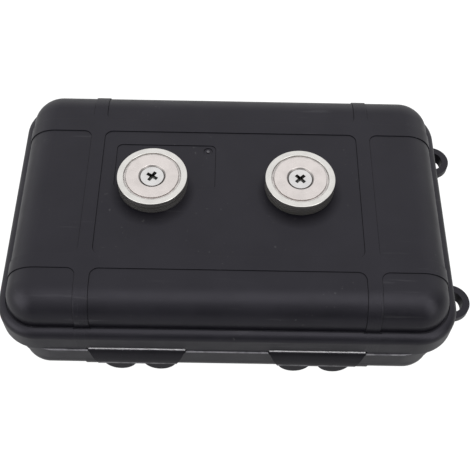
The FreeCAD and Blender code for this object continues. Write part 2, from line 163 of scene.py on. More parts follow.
def stretch(tree, place, scale, turn=0.0, centre=(0, 0, 0)):
    """Coordinates turned about Z and scaled on each axis, measured from a centre."""
    moved = tree.nodes.new("ShaderNodeVectorMath")
    moved.operation = "SUBTRACT"
    moved.inputs[1].default_value = centre
    tree.links.new(place, moved.inputs[0])
    mapping = tree.nodes.new("ShaderNodeMapping")
    mapping.inputs["Rotation"].default_value = (0, 0, turn)
    mapping.inputs["Scale"].default_value = scale
    tree.links.new(moved.outputs[0], mapping.inputs["Vector"])
    return mapping.outputs["Vector"]


def distance_from(tree, place, centre, scale):
    """Distance from a centre, in metres, with each axis counted by its scale."""
    node = tree.nodes.new("ShaderNodeVectorMath")
    node.operation = "LENGTH"
    tree.links.new(stretch(tree, place, scale, centre=centre), node.inputs[0])
    return node.outputs["Value"]


def noise(tree, place, per_metre, detail=2.0, rough=0.5):
    """Cloudy value from 0 to 1 with so many features to a metre."""
    node = tree.nodes.new("ShaderNodeTexNoise")
    node.inputs["Scale"].default_value = per_metre
    node.inputs["Detail"].default_value = detail
    node.inputs["Roughness"].default_value = rough
    tree.links.new(place, node.inputs["Vector"])
    return node.outputs["Fac"]


# %% [markdown]
# ## Ramps, sums and relief
# Noise by itself is an even cloud. A ramp that keeps only its highest values makes
# sparse marks of it, and the product of two such ramps makes marks that also come in
# patches. Relief too fine to model is a bump: it tilts the light and moves nothing.

# %% Ramps, sums and relief
def remap(tree, value, low, high, out_low=0.0, out_high=1.0):
    """Value spread from one range to another, and held inside it."""
    node = tree.nodes.new("ShaderNodeMapRange")
    for socket, number in (("From Min", low), ("From Max", high),
                           ("To Min", out_low), ("To Max", out_high)):
        node.inputs[socket].default_value = number
    tree.links.new(value, node.inputs["Value"])
    return node.outputs["Result"]


def combine(tree, operation, first, second):
    """Two values joined by one operation; either may be a plain number."""
    node = tree.nodes.new("ShaderNodeMath")
    node.operation = operation
    for socket, value in zip(node.inputs, (first, second)):
        if isinstance(value, (int, float)):
            socket.default_value = value
        else:
            tree.links.new(value, socket)
    return node.outputs["Value"]


def blend_colours(tree, share, first, second):
    """Colour that goes from one to another by a share; either may be a socket."""
    node = tree.nodes.new("ShaderNodeMix")
    node.data_type = "RGBA"
    tree.links.new(share, node.inputs["Factor"])
    for name, colour in (("A", first), ("B", second)):
        socket = [s for s in node.inputs if s.name == name and s.type == "RGBA"][0]
        if isinstance(colour, tuple):
            socket.default_value = (*colour, 1)
        else:
            tree.links.new(colour, socket)
    return [s for s in node.outputs if s.type == "RGBA"][0]


def relief(tree, shader, height, depth, under=None):
    """Fine relief of a given depth in metres, on the shader's normal."""
    node = tree.nodes.new("ShaderNodeBump")
    node.inputs["Distance"].default_value = depth
    tree.links.new(height, node.inputs["Height"])
    if under is not None:
        tree.links.new(under, node.inputs["Normal"])
    tree.links.new(node.outputs["Normal"], shader.inputs["Normal"])
    return node.outputs["Normal"]


# %% [markdown]
# ## Grain, dust and scuffs
# The mould was spark-eroded, which leaves a fine matte grain on the whole case, and
# handling adds faint scuffs and specks of dust. An image of real grain would show its
# seams; noise in three dimensions has none and runs round corners.

# %% Grain, dust and scuffs
def case_grain(tree, place):
    """Height of the fine eroded grain."""
    return noise(tree, place, 1900, detail=3, rough=0.6)


def dust(tree, place):
    """Sparse small specks, as a share from 0 to 1."""
    fine = noise(tree, place, 720, detail=1)
    patch = noise(tree, place, 45, detail=1)
    return combine(tree, "MULTIPLY",
                   remap(tree, fine, 0.72, 0.78), remap(tree, patch, 0.5, 0.62))


def scuffs(tree, place, turn):
    """Sparse short rub marks along one direction."""
    along = stretch(tree, place, (40, 700, 700), turn)
    lines = noise(tree, along, 1, detail=2)
    patch = noise(tree, place, 30, detail=1)
    return combine(tree, "MULTIPLY",
                   remap(tree, lines, 0.66, 0.74), remap(tree, patch, 0.5, 0.62))


# %% [markdown]
# ## Drag lines and painted shade of the lid
# Two patterns belong to the lid alone. The mould slides off over the ends of the two cross
# bands and drags fine lines along them, so those lines are noise squeezed along X and kept to
# the bands by ramps on X and Y. In front of each magnet the cup stands in the way of the
# light, and there the lid's gloss is turned down as painted shade: it stands in for the cup's
# shade and the dark reflection of its wall. A painted mask would do for both, but ramps on the
# coordinates need no picture and stay sharp at any size.

# %% Drag lines and painted shade of the lid
band_inner = 47.1 * MM
band_outer = 51.9 * MM
fade = 0.3 * MM


def band_drag(tree, place):
    """Fine lines that run over the ends of the two cross bands, where the mould slides."""
    lines = noise(tree, stretch(tree, place, (2600, 60, 60)), 1, detail=2)
    split = tree.nodes.new("ShaderNodeSeparateXYZ")
    tree.links.new(place, split.inputs[0])
    beside = combine(tree, "ABSOLUTE", split.outputs["X"], 0.0)
    on_band = combine(
        tree, "MULTIPLY",
        remap(tree, beside, band_inner - fade, band_inner + fade),
        remap(tree, beside, band_outer + fade, band_outer - fade))
    length = combine(tree, "ABSOLUTE", split.outputs["Y"], 0.0)
    at_end = remap(tree, length, 36 * MM, 40 * MM)
    return combine(tree, "MULTIPLY", lines, combine(tree, "MULTIPLY", on_band, at_end))


def painted_cup_shade(tree, place, axis):
    """Painted shade: a share that rises on the lid in front of a magnet cup.

    Height counts six times, so the patch stays on the lid's top and off its ceiling.
    """
    centre = (axis.x, axis.y - 3 * MM, lid_top * MM)
    distance = distance_from(tree, place, centre, (1, 1, 6))
    return remap(tree, distance, 15.5 * MM, 10 * MM)


print("cross bands lie", [round(edge / MM, 1) for edge in (band_inner, band_outer)],
      "mm beside the middle")


# %% [markdown]
# ## Moulded plastic
# Both halves and the latches are black ABS, the latches smoother than the lid. The base is a
# trace paler, a painted lighter tone for the floor light on its walls. Almost all the
# brightness of black plastic is its surface gloss, so the grain and the roughness matter more
# than the colour. The gloss of this plastic is slightly violet, which is a tint on the
# shader's own socket.

# %% Moulded plastic
def black_plastic(name):
    """New finish whose gloss has the slightly violet cast of this black plastic."""
    finish, tree, shader, place = new_finish(name)
    shader.inputs["IOR"].default_value = 1.40
    shader.inputs["Specular Tint"].default_value = (0.91, 0.88, 1.0, 1)
    return finish, tree, shader, place


def moulded_plastic(name, dark, light, gloss, grain_depth, lid_lines_and_shade=False):
    """Black plastic with grain, tone changes, specks and scuffs; the lid's also has drag lines
    and painted shade in front of the cups.
    """
    finish, tree, shader, place = black_plastic(name)
    tone = noise(tree, place, 70, detail=4)
    colour = blend_colours(tree, remap(tree, tone, 0.35, 0.65), dark, light)
    marks = combine(tree, "MAXIMUM", scuffs(tree, place, 0.5), scuffs(tree, place, 2.1))
    colour = blend_colours(
        tree, combine(tree, "MULTIPLY", marks, 0.35), colour, (0.04, 0.04, 0.043))
    colour = blend_colours(
        tree, combine(tree, "MULTIPLY", dust(tree, place), 0.5), colour, (0.05, 0.05, 0.05))
    tree.links.new(colour, shader.inputs["Base Color"])
    patches = noise(tree, place, 160, detail=3)
    rough = remap(tree, patches, 0.3, 0.7, gloss - 0.04, gloss + 0.04)
    rough = combine(tree, "SUBTRACT", rough, combine(tree, "MULTIPLY", marks, 0.12))
    tree.links.new(rough, shader.inputs["Roughness"])
    grain = relief(tree, shader, case_grain(tree, place), grain_depth)
    if lid_lines_and_shade:
        relief(tree, shader, band_drag(tree, place), 9 * grain_depth, under=grain)
        # Painted shade: the gloss is turned down in front of each cup.
        cup_shade = combine(
            tree, "MAXIMUM", *[painted_cup_shade(tree, place, axis) for axis in axes.values()])
        tree.links.new(remap(tree, cup_shade, 0, 1, 0.5, 0.06), shader.inputs["Specular IOR Level"])
    return finish


case_plastic = moulded_plastic(
    "case_plastic", (0.0038, 0.0036, 0.0056), (0.0060, 0.0057, 0.0082), 0.37, 0.012 * MM,
    lid_lines_and_shade=True)
# The base's paler tone is painted light for the floor light on its walls.
base_plastic_painted_light = moulded_plastic(
    "base_plastic_painted_light", (0.0098, 0.0095, 0.0118), (0.0126, 0.0122, 0.0150), 0.36, 0.012 * MM)
latch_plastic = moulded_plastic(
    "latch_plastic", (0.0026, 0.0025, 0.0034), (0.0038, 0.0037, 0.0048), 0.30, 0.006 * MM)
print("plastics ready")

# %% [markdown]
# ## Edges and corners of the plastic
# Outer edges take a lighter grey. That is partly real rubbing, where the grain polishes away,
# and partly a painted highlight for the thin lines of light along them. Sharp inner corners
# take a darker, matte finish, which is painted shade: no lamp reaches them, so they read as
# fine dark lines. One could paint masks, or read the curvature in the shader. Here the bevels
# that soften the edges hand their new faces to other material slots, so both finishes follow
# the geometry exactly.

# %% Edges and corners of the plastic
def rub_and_highlight_plastic(name, base, lightest, gloss, index):
    """Lighter edge of a black moulding, partly rubbing and partly a painted highlight, broken
    up so that it isn't an even line.
    """
    finish, tree, shader, place = black_plastic(name)
    lightness_share = remap(tree, noise(tree, place, 420, detail=4), 0.36, 0.58)
    tree.links.new(blend_colours(tree, lightness_share, base, lightest), shader.inputs["Base Color"])
    tree.links.new(remap(tree, lightness_share, 0, 1, gloss + 0.1, gloss), shader.inputs["Roughness"])
    shader.inputs["IOR"].default_value = index
    relief(tree, shader, case_grain(tree, place), 0.004 * MM)
    return finish


def corner_shade_plastic(name):
    """Painted shade for an inner corner of a moulding: matte and darker than the faces beside
    it.
    """
    finish, tree, shader, place = black_plastic(name)
    shade_mottle = noise(tree, place, 500, detail=3)
    tree.links.new(
        blend_colours(tree, shade_mottle, (0.003, 0.003, 0.0035), (0.006, 0.006, 0.007)),
        shader.inputs["Base Color"])
    shader.inputs["Specular IOR Level"].default_value = 0.12
    tree.links.new(remap(tree, shade_mottle, 0.3, 0.7, 0.7, 0.85), shader.inputs["Roughness"])
    return finish


# These light greys are painted highlights for the lines of light along the edges, with some
# real rubbing.
case_edge_rub_and_highlight = rub_and_highlight_plastic("case_edge_rub_and_highlight", (0.10, 0.098, 0.106), (0.19, 0.186, 0.20), 0.28, 1.5)
latch_edge_rub_and_highlight = rub_and_highlight_plastic("latch_edge_rub_and_highlight", (0.58, 0.57, 0.59), (0.78, 0.77, 0.80), 0.22, 1.8)
rub_and_sheen = rub_and_highlight_plastic("rub_and_sheen_plastic", (0.04, 0.039, 0.042), (0.13, 0.127, 0.136), 0.26, 1.5)
# Painted shade for the dark lines in inner corners.
case_corner_shade = corner_shade_plastic("case_corner_shade")
print("edge finishes ready")

# %% [markdown]
# ## Metals
# The cups and magnets are nickel plated, the screws, washers and nuts zinc plated. A metal has
# no colour under its shine: its look is the tint and sharpness of what it reflects. Turning
# leaves rings about the axis, so the relief is noise read along the radius, and the roughness
# drifts a little as plating does. The hole of the magnet and the recess of the screw look into
# themselves, and their tint is painted a good deal darker: painted shade in the magnet's hole,
# painted shade with some oily dirt in the screw's recess.

# %% Plated metal
def plated_metal(name, tint, rough, axis, ring_depth):
    """Plated metal that was turned about a vertical axis."""
    finish, tree, shader, place = new_finish(name)
    rings = tree.nodes.new("ShaderNodeTexNoise")
    rings.noise_dimensions = "1D"
    rings.inputs["Scale"].default_value = 2600
    rings.inputs["Detail"].default_value = 3
    radius = distance_from(tree, place, (axis.x, axis.y, 0), (1, 1, 0))
    tree.links.new(radius, rings.inputs["W"])
    stain = noise(tree, place, 260, detail=4)
    darker = tuple(0.9 * part for part in tint)
    colour = blend_colours(tree, remap(tree, stain, 0.4, 0.7), tint, darker)
    tree.links.new(colour, shader.inputs["Base Color"])
    shader.inputs["Metallic"].default_value = 1
    drift = noise(tree, place, 900, detail=3)
    drift = remap(tree, drift, 0.3, 0.7, rough - 0.04, rough + 0.05)
    tree.links.new(drift, shader.inputs["Roughness"])
    turned_rings = relief(tree, shader, rings.outputs["Fac"], ring_depth)
    pits = remap(tree, noise(tree, place, 2400, detail=2), 0.62, 0.75, 1, 0)
    relief(tree, shader, pits, 0.004 * MM, under=turned_rings)
    return finish


# %% Metals of the magnets and their screws
def metal_pair(name, tint, rough, ring_depth):
    """The same metal for the left and the right magnet, each about its own axis."""
    return {side: plated_metal(name + "_" + side, tint, rough, axis, ring_depth)
            for side, axis in axes.items()}


# The countersink is painted darker as shade, the screw's recess as shade with some oily dirt.
countersink_shade = metal_pair("countersink_shade", (0.30, 0.28, 0.27), 0.34, 0.0015 * MM)
recess_dirt_and_shade = metal_pair("recess_dirt_and_shade", (0.24, 0.24, 0.23), 0.25, 0.004 * MM)
cup_nickel = metal_pair("cup_nickel", (0.70, 0.685, 0.66), 0.17, 0.0015 * MM)
magnet_nickel = metal_pair("magnet_nickel", (0.69, 0.642, 0.622), 0.3, 0.0004 * MM)
screw_zinc = metal_pair("screw_zinc", (0.69, 0.68, 0.675), 0.24, 0.0015 * MM)
nut_zinc = metal_pair("nut_zinc", (0.66, 0.67, 0.70), 0.3, 0.002 * MM)
print("metals ready for", sorted(axes))

# %% [markdown]
# ## Drawn steel
# A cup is pressed from sheet, and the die leaves level lines round its wall that show
# through the plating. The pins are drawn rod, with lines along them. Both patterns are
# one noise, squeezed hard across the lines and left long in their direction. The wall
# is a shade less than full metal, as its lines hold some grime.

# %% Drawn steel
def drawn_wall(name):
    """Side of a cup, with the level lines that a drawing die leaves under the plating."""
    finish, tree, shader, place = new_finish(name)
    level_lines = noise(tree, stretch(tree, place, (25, 25, 2600)), 1, detail=2)
    lines = remap(tree, level_lines, 0.4, 0.6)
    colour = blend_colours(tree, lines, (0.40, 0.39, 0.36), (0.80, 0.77, 0.72))
    tree.links.new(colour, shader.inputs["Base Color"])
    shader.inputs["Metallic"].default_value = 0.94
    tree.links.new(remap(tree, lines, 0, 1, 0.34, 0.2), shader.inputs["Roughness"])
    relief(tree, shader, lines, 0.008 * MM)
    return finish


def drawn_rod(name):
    """Drawn rod with fine lines along X."""
    finish, tree, shader, place = new_finish(name)
    lines = noise(tree, stretch(tree, place, (60, 4000, 4000)), 1, detail=3)
    colour = blend_colours(tree, lines, (0.50, 0.50, 0.51), (0.64, 0.63, 0.62))
    tree.links.new(colour, shader.inputs["Base Color"])
    shader.inputs["Metallic"].default_value = 1
    tree.links.new(remap(tree, lines, 0.2, 0.8, 0.22, 0.36), shader.inputs["Roughness"])
    relief(tree, shader, lines, 0.003 * MM)
    return finish


cup_side = drawn_wall("cup_side")
pin_steel = drawn_rod("pin_steel")
print("drawn steel ready")

# %% [markdown]
# ## Rubber, resin and nylon
# The seal, the resin round the magnets and the rings in the lock nuts are soft, dull
# stuff with a slightly cloudy tone and a skin. They differ only in colour, roughness
# and the size of the clouds, so one function makes all three.

# %% Rubber, resin and nylon
def soft_finish(name, first, second, rough, per_metre, depth):
    """Dull material with a mottled tone and a fine skin."""
    finish, tree, shader, place = new_finish(name)
    mottle = noise(tree, place, per_metre, detail=4)
    colour = blend_colours(tree, remap(tree, mottle, 0.35, 0.65), first, second)
    tree.links.new(colour, shader.inputs["Base Color"])
    tree.links.new(
        remap(tree, mottle, 0.3, 0.7, rough - 0.06, rough + 0.06), shader.inputs["Roughness"])
    relief(tree, shader, noise(tree, place, 6 * per_metre, detail=2), depth)
    return finish


seal_rubber = soft_finish(
    "seal_rubber", (0.022, 0.022, 0.023), (0.034, 0.034, 0.034), 0.72, 300, 0.02 * MM)
potting_resin = soft_finish(
    "potting_resin", (0.42, 0.395, 0.385), (0.58, 0.55, 0.535), 0.34, 500, 0.03 * MM)
nylon = soft_finish("nylon", (0.62, 0.61, 0.57), (0.70, 0.69, 0.65), 0.45, 600, 0.01 * MM)
print("soft finishes ready")

# %% [markdown]
# ## Case halves
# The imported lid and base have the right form, but every edge is perfectly sharp and
# no moulded edge is. Their meshes are loose triangles, so each one is copied, its
# doubled corners are merged and its flat areas are dissolved into single faces. Only
# then can a bevel find the true edges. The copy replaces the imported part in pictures.

# %% Bevels
def soften(piece, width, segments, angle):
    """Round every edge of a piece that is sharper than an angle in degrees."""
    take(piece)
    bevel = piece.modifiers.new("soft_edges", "BEVEL")
    bevel.width = width
    bevel.segments = segments
    bevel.limit_method = "ANGLE"
    bevel.angle_limit = math.radians(angle)
    bevel.use_clamp_overlap = False
    bpy.ops.object.modifier_apply(modifier=bevel.name)


def bevel_chosen(test, width, segments, slot):
    """In edit mode, bevel the sharp edges that pass a test, into one material slot."""
    found = choose("edges", lambda edge: len(edge.link_faces) == 2
                   and edge.calc_face_angle() > math.radians(SHARP) and test(edge))
    bpy.ops.mesh.bevel(
        offset=width, segments=segments, profile=0.5, clamp_overlap=False, material=slot)
    print("  edges bevelled on their own", found)


def middle(edge):
    """Middle point of an edge, in millimetres."""
    return (edge.verts[0].co + edge.verts[1].co) / 2 / MM


def give_slot(form, test, slot):
    """In edit mode, hand the faces of one form, found by a test, to a material slot."""
    found = choose("faces", test)
    bpy.context.object.active_material_index = slot
    bpy.ops.object.material_slot_assign()
    print("  faces of the " + form, found)


# %% [markdown]
# ## Copies with soft edges
# The bevels come in two rounds. Edges that take a lighter grey, partly rubbing and partly
# painted highlight, or painted shade go first, each group at its own width and into its own
# material slot. They get an even number of steps, since a single step leaves new edges that
# the second round would bevel again. Then one modifier rounds all that is still sharp. Last,
# the normals are weighted by area, so that the large flat faces shine evenly up to their
# edges.

# %% Copies with soft edges
def cut_rings():
    """In edit mode, cut the mesh along both middle planes and keep the cuts as seams.

    A flat face that runs all the way round a wall is then four plain faces, each with
    square ends, and a bevel along its edge cannot fold it.
    """
    for across in ((1, 0, 0), (0, 1, 0)):
        bpy.ops.mesh.select_all(action="SELECT")
        bpy.ops.mesh.bisect(plane_co=(0, 0, 0), plane_no=across)
        bpy.ops.mesh.mark_seam()


def finish_piece(piece, body):
    """Smooth the shading of a piece and tie it to its body."""
    take(piece)
    bpy.ops.object.shade_smooth_by_angle(angle=math.radians(32))
    weights = piece.modifiers.new("even_normals", "WEIGHTED_NORMAL")
    weights.keep_sharp = True
    bpy.ops.object.modifier_apply(modifier=weights.name)
    deselect_all()
    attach(piece, body)
    print(piece.name, "faces", len(piece.data.polygons))


def soft_copy(node, name, body, finishes, edge_width, segments=2, first=(), mark=None,
              rings=False):
    """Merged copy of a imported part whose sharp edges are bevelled.

    Each row of first is a test of edges, with the width, steps and slot of their own
    bevel. The mark, if there is one, hands faces to slots before any edge is bevelled.
    """
    piece = bpy.data.objects.new(name, nodes[node].data.copy())
    scene.collection.objects.link(piece)
    piece.data.materials.clear()
    for finish in finishes:
        piece.data.materials.append(finish)
    take(piece)
    bpy.ops.object.mode_set(mode="EDIT")
    bpy.ops.mesh.select_all(action="SELECT")
    bpy.ops.mesh.remove_doubles(threshold=MERGE)
    if rings:
        cut_rings()
        bpy.ops.mesh.select_all(action="SELECT")
    bpy.ops.mesh.dissolve_limited(angle_limit=math.radians(0.3), delimit={"SEAM"})
    if mark:
        mark()
    for test, width, steps, finish_slot in first:
        bevel_chosen(test, width, steps, finish_slot)
    bpy.ops.object.mode_set(mode="OBJECT")
    if edge_width:
        soften(piece, edge_width, segments, SHARP)
    finish_piece(piece, body)
    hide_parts(node)
    return piece


# %% [markdown]
# ## Lid
# The lid's raised bands, and the marks sunk into its top, meet it in sharp inner corners, so
# those corners get their own bevel and a finish of painted shade that draws them as fine dark
# lines.
# The gate nub, where the plastic was fed in and cut off, shines a little. The lid also
# has flat rings that run all the way round, so it is cut in four before its bevels.

# %% Lid
shoulder_foot = 37.9
nub_height = 49.2
nub_place = Vector((-8.3, 18.5))


def band_corner(edge):
    """Inner corner at the foot of a raised band, or of a mark in the lid's top."""
    return middle(edge).z > shoulder_foot and not edge.is_convex


def is_nub(face):
    """Top of the gate nub."""
    centre = face.calc_center_median() / MM
    level = abs(centre.z - nub_height) < 0.01
    return level and (centre.to_2d() - nub_place).length < 0.5


lid_finishes = [case_plastic, case_corner_shade, rub_and_sheen]
soft_copy("lid_shell", "lid", "lid", lid_finishes, 0.12 * MM,
          first=[(band_corner, 0.13 * MM, 4, 1)],
          mark=lambda: give_slot("nub", is_nub, 2), rings=True)

# %% [markdown]
# ## Base
# The base flange stands half a millimetre out from under the lid. That ledge is the thin light
# line under the lid's rim. Its lighter grey is partly real rubbing by fingers at every opening
# and partly a painted highlight for that line of light. The flange's top is cut along the rim
# above it, the outer strip takes the lighter edge finish, and the ledge's edge gets a wider
# bevel of its own before the general one.

# %% Base
flange_top = 27.5
flange_side = 53.0
rim_line = 52.35


def on_flange_top(face):
    """Flat top of the base flange, where the lid's rim comes down on it."""
    level = abs(face.calc_center_median().z / MM - flange_top) < 0.01
    return level and face.normal.z > 0.99


def mark_ledge():
    """Cut the flange's top under the rim's outline, and hand the outer strips to slot 1."""
    for side in (-1, 1):
        choose("faces", on_flange_top)
        bpy.ops.mesh.bisect(plane_co=(0, side * rim_line * MM, 0), plane_no=(0, 1, 0))
    give_slot("ledge", lambda face: on_flange_top(face)
              and abs(face.calc_center_median().y) > rim_line * MM, 1)


def flange_edge(edge):
    """Top outer edge of the base flange."""
    outside = abs(middle(edge).y) > flange_side - 0.1
    level = max(abs(vertex.co.z / MM - flange_top) for vertex in edge.verts) < 0.001
    return outside and level


# The ledge strip and its edge take the painted highlight with some rubbing.
soft_copy("base_shell", "base", "base", [base_plastic_painted_light, case_edge_rub_and_highlight], 0.12 * MM,
          first=[(flange_edge, 0.2 * MM, 4, 1)], mark=mark_ledge)

# %% [markdown]
# ## Lanyard eyes
# Two flat rings for a cord grow out of the base's right wall. Only edges that stand
# free are rounded: an edge that ends in the wall would pull its bevel out past it.

# %% Lanyard eyes
def free_edge(edge):
    """Edge of an eye's ring or of its top, clear of the wall that it grows from."""
    point = middle(edge)
    on_ring = point.x > 78.6
    on_top = point.x > 76.6 and point.z > 27.1
    return on_ring or on_top


for end in ("back", "front"):
    soft_copy("lanyard_ring_" + end, "lanyard_eye_" + end, "base",
              [case_plastic], 0, first=[(free_edge, 0.12 * MM, 2, 0)])

# %% [markdown]
# ## Latches
# Each latch is a separate moulding in a slightly glossier grade: a thin rounded top edge that
# shines as one bright line, a bowed face, a lip that rolls under, and two finger lobes below
# it. The imported latch already has these forms. So its top edge is only handed to the
# brightest edge finish, a light grey that is a painted highlight for that bright line with
# some real rubbing, and its lip, which fingers polish less, to the darker one, a fainter
# painted highlight with some rubbing. Height and depth tell those faces apart.

# %% Latches
top_edge_height = 28
top_edge_depths = (-52.6, -51.75)
lip_heights = (20.98, 22.6)
lip_depth = -54.3
for side in axes:
    cover = soft_copy("latch_" + side, "latch_cover_" + side, "latch_" + side,
                      [latch_plastic, latch_edge_rub_and_highlight, rub_and_sheen], 0.12 * MM)
    rub_and_sheen_faces = {"top": 0, "lip": 0}
    for face in cover.data.polygons:
        height = face.center.z / MM
        depth = face.center.y / MM
        at_top = height > top_edge_height and top_edge_depths[0] < depth < top_edge_depths[1]
        at_lip = lip_heights[0] < height < lip_heights[1] and depth < lip_depth
        # Top faces take a painted highlight with some rubbing, lip faces a fainter painted
        # highlight.
        if at_top and face.normal.z > 0.97:
            face.material_index = 1
            rub_and_sheen_faces["top"] += 1
        elif at_lip and face.normal.y < -0.2:
            face.material_index = 2
            rub_and_sheen_faces["lip"] += 1
    print("  worn faces", rub_and_sheen_faces)

# %% [markdown]
# ## Seal
# A moulded rubber ring lies in the lid's groove. It could be swept along a path round
# the lid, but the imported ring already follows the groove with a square-cut section. A
# wide bevel in four steps turns that section into a round bead.

# %% Seal
soft_copy("lid_seal", "seal_bead", "lid", [seal_rubber], 0.4 * MM, segments=4)

# %% [markdown]
# ## Turned pieces
# The cups, magnets, washers and screws are all round. A lathe is copied exactly: one
# vertex is extruded along half a section, and the section is spun about the axis. A
# section is a row of radii and heights in millimetres, and height zero is the lid's
# surface.

# %% Turned pieces
def turned(name, section, closed=True, steps=96):
    """Piece of revolution about the origin's upright axis, from its half section."""
    deselect_all()
    bpy.ops.mesh.primitive_plane_add(size=MM, location=(0, 0, 0))
    piece = bpy.context.object
    piece.name = name
    bpy.ops.object.mode_set(mode="EDIT")
    bpy.ops.mesh.select_mode(type="VERT")
    bpy.ops.mesh.merge(type="CENTER")
    radius, height = section[0]
    bpy.ops.transform.translate(value=(radius * MM, 0, height * MM))
    path = section[1:] + section[:1] if closed else section[1:]
    for next_radius, next_height in path:
        step = ((next_radius - radius) * MM, 0, (next_height - height) * MM)
        bpy.ops.mesh.extrude_region_move(TRANSFORM_OT_translate={"value": step})
        radius, height = next_radius, next_height
    bpy.ops.mesh.select_all(action="SELECT")
    bpy.ops.mesh.remove_doubles(threshold=MERGE)
    bpy.ops.mesh.spin(steps=steps, angle=2 * math.pi, center=(0, 0, 0), axis=(0, 0, 1))
    bpy.ops.mesh.select_all(action="SELECT")
    bpy.ops.mesh.remove_doubles(threshold=MERGE)
    bpy.ops.mesh.normals_make_consistent(inside=False)
    bpy.ops.object.mode_set(mode="OBJECT")
    return piece


# %% [markdown]
# ## Left and right
# Each turned piece is made once at the origin and set down on the left magnet's axis.
# The right one is a copy with a mesh of its own, moved across, so that nothing depends
# on an instance. The move is applied to the mesh, because a finished piece stays at
# the origin. Some pieces have two finishes, told apart by the radius of a face.

# %% Left and right
def set_down(piece):
    """Move a piece from the origin to the left magnet's axis, on the lid's surface."""
    take(piece)
    piece.location = axes["left"] + Vector((0, 0, lid_top * MM))
    bpy.ops.object.transform_apply(location=True, rotation=True, scale=True)


def twin(piece, name, turn=0.0):
    """Copy of a left piece, with a mesh of its own, on the right magnet's axis."""
    copy = bpy.data.objects.new(name, piece.data.copy())
    scene.collection.objects.link(copy)
    take(copy)
    bpy.ops.transform.rotate(value=turn, orient_axis="Z", center_override=axes["left"])
    copy.location += axes["right"] - axes["left"]
    bpy.ops.object.transform_apply(location=True, rotation=True, scale=False)
    return copy


def radius_of(face):
    """Distance of a face's middle from the left magnet's axis, in millimetres."""
    return (face.center - axes["left"]).to_2d().length / MM


def height_of(face):
    """Height of a face's middle above the lid's surface, in millimetres."""
    return face.center.z / MM - lid_top


def place_pair(piece, part, node, finishes, other=None, where=None, turn=0.0):
    """Finish a left piece and its right twin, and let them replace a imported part.

    Faces that pass the test take the other finish; the twin may be turned on its axis.
    """
    piece.data.materials.clear()
    marked = [face for face in piece.data.polygons if where and where(face)]
    for face in marked:
        face.material_index = 1
    pair = {"left": piece, "right": twin(piece, part + "_right", turn)}
    for side, one in pair.items():
        one.data.materials.append(finishes[side])
        if marked:
            one.data.materials.append(other[side])
        finish_piece(one, "lid")
        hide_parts(node + "_" + side)
    print("  faces with the other finish", len(marked))


# %% [markdown]
# ## Pot magnets
# A pot magnet is a ring magnet in a steel cup that leads the field to its rim. The cup is
# pressed, so its wall takes the drawn finish and the rest the plated one. The ring is ground
# flat, and the countersink for the screw's head takes a much darker tint, which is painted
# shade.

# %% Measures of a pot magnet
bore = 2.75
cup_radius = 12.5
cup_top = 5.3
pot_radius = 10.3
pot_floor = 1.5
magnet_radius = 9.4
magnet_top = 5.25
sink_radius = 4.95
sink_foot = 3.05
print("a pot magnet is", 2 * cup_radius, "mm wide and", cup_top, "mm high")

# %% Magnet cups
cup = turned("cup_left", [
    (bore, 0), (cup_radius, 0), (cup_radius, cup_top), (pot_radius, cup_top),
    (pot_radius, pot_floor), (bore, pot_floor)])
soften(cup, 0.22 * MM, 4, 25)
set_down(cup)
cup_sides = {side: cup_side for side in axes}
place_pair(cup, "cup", "magnet_cup", cup_nickel, cup_sides,
           where=lambda face: radius_of(face) > cup_radius - 0.2 and abs(face.normal.z) < 0.3)

# %% Ring magnets
magnet = turned("magnet_left", [
    (bore, pot_floor), (magnet_radius, pot_floor), (magnet_radius, magnet_top),
    (sink_radius, magnet_top), (bore, sink_foot)])
soften(magnet, 0.12 * MM, 3, 25)
set_down(magnet)
place_pair(magnet, "magnet", "ring_magnet", magnet_nickel, countersink_shade,
           where=lambda face: radius_of(face) < sink_radius - 0.05 and face.normal.z < 0.8)

# %% [markdown]
# ## Potting
# Resin is poured round the magnet and stops half a millimetre below its face. It
# shrinks off both walls as it sets, so the section's top dips at its two edges.

# %% Potting
resin = {side: potting_resin for side in axes}
potting = turned("potting_left", [
    (magnet_radius, pot_floor), (pot_radius, pot_floor), (pot_radius, 4.5), (10.22, 4.62),
    (10.1, 4.7), (9.85, 4.73), (9.6, 4.7), (9.48, 4.62), (magnet_radius, 4.5)])
set_down(potting)
place_pair(potting, "potting", "potting_ring", resin)

# %% [markdown]
# ## Screws
# A countersunk machine screw has three forms: the turned body, a thread and a cross
# recess. The thread is a small triangle carried round and up by a Screw modifier,
# which is how a thread is cut. The recess is two tapered wings, each subtracted by a
# Boolean. The same screw holds the other magnet, so it is made once.

# %% Screw body
head_top = 4.95
screw_length = 16.0
screw_low = head_top - screw_length
shank = 2.5
core = 2.05
screw = turned("screw_left", [
    (0, head_top), (3.95, head_top), (4.12, head_top - 0.05), (4.22, head_top - 0.2),
    (shank, head_top - 1.95), (shank, 1.6), (core, 1.1), (core, screw_low + 0.5),
    (1.75, screw_low), (0, screw_low)], closed=False, steps=64)
print("screw of", screw_length, "mm with", len(screw.data.polygons), "plain faces")


# %% Screw thread
def boolean(piece, other, operation):
    """Join or cut a piece with another one, which is then removed."""
    take(piece)
    modifier = piece.modifiers.new("boolean", "BOOLEAN")
    modifier.operation = operation
    modifier.solver = "EXACT"
    modifier.object = other
    bpy.ops.object.modifier_apply(modifier=modifier.name)
    bpy.data.objects.remove(other)


